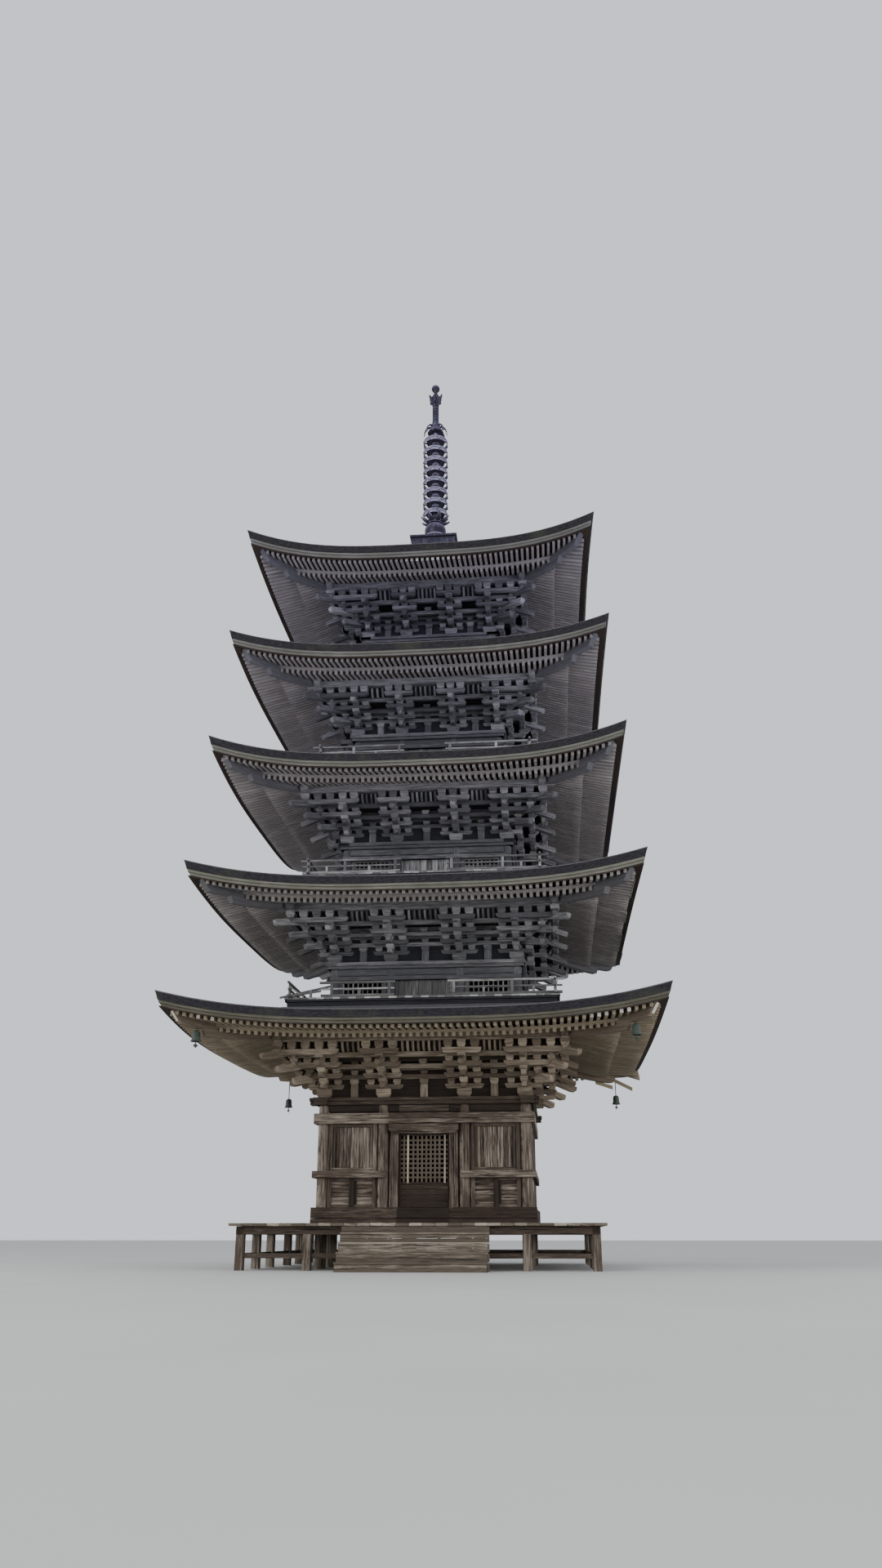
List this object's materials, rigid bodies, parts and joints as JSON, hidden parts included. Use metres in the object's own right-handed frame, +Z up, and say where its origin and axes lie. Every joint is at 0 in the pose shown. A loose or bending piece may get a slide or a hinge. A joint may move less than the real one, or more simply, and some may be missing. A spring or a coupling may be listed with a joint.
{
  "type": "five-storey timber pagoda",
  "caption": "Square timber pagoda with a veranda, a lattice door, bracketed eaves under upswept shingled roofs, small balconies and a ringed bronze spire.",
  "frame": {"origin": "on the ground under the middle of the tower", "axes": "+Z up, -Y out of the front with the stair and the door, +X to the right seen from the front"},
  "size_m": [12.4, 12.4, 29.2],
  "materials": {
    "ground_wood": "weathered, matte",
    "upper_wood": "weathered, matte",
    "pale_wood": "bleached, matte",
    "shingle": "weathered, matte",
    "bronze": "dark patina, satin"
  },
  "bodies": {
    "door": {"door_leaf": "ground_wood"},
    "root": {"veranda_frame": "ground_wood", "front_wall_left": "ground_wood", "front_wall_right": "ground_wood", "back_wall": "ground_wood", "left_wall": "ground_wood", "right_wall": "ground_wood", "room_floor": "ground_wood", "plate_1": "ground_wood", "door_sill": "ground_wood", "door_head": "ground_wood", "veranda_floor": "pale_wood", "front_stair": "pale_wood", "brackets_1": "upper_wood", "eave_frame_1": "upper_wood", "roof_1": "shingle", "brackets_2": "upper_wood", "eave_frame_2": "upper_wood", "roof_2": "shingle", "walls_2": "upper_wood", "plate_2": "upper_wood", "balcony_2": "pale_wood", "brackets_3": "upper_wood", "eave_frame_3": "upper_wood", "roof_3": "shingle", "walls_3": "upper_wood", "plate_3": "upper_wood", "balcony_3": "pale_wood", "brackets_4": "upper_wood", "eave_frame_4": "upper_wood", "roof_4": "shingle", "walls_4": "upper_wood", "plate_4": "upper_wood", "balcony_4": "pale_wood", "brackets_5": "upper_wood", "eave_frame_5": "upper_wood", "roof_5": "shingle", "walls_5": "upper_wood", "plate_5": "upper_wood", "balcony_5": "pale_wood", "spire_base": "bronze", "spire_bowl": "bronze", "lotus": "bronze", "ring_mast": "bronze", "spire_canopy": "bronze", "spire_shaft": "bronze", "flame": "bronze", "jewel": "bronze"}
  },
  "joints": [
    {"name": "door_hinge", "type": "hinge", "parent": "root", "child": "door", "pos_m": [-0.606, -2.61, 1.4], "axis": [0, 0, -1], "range_deg": [0, 90]}
  ]
}
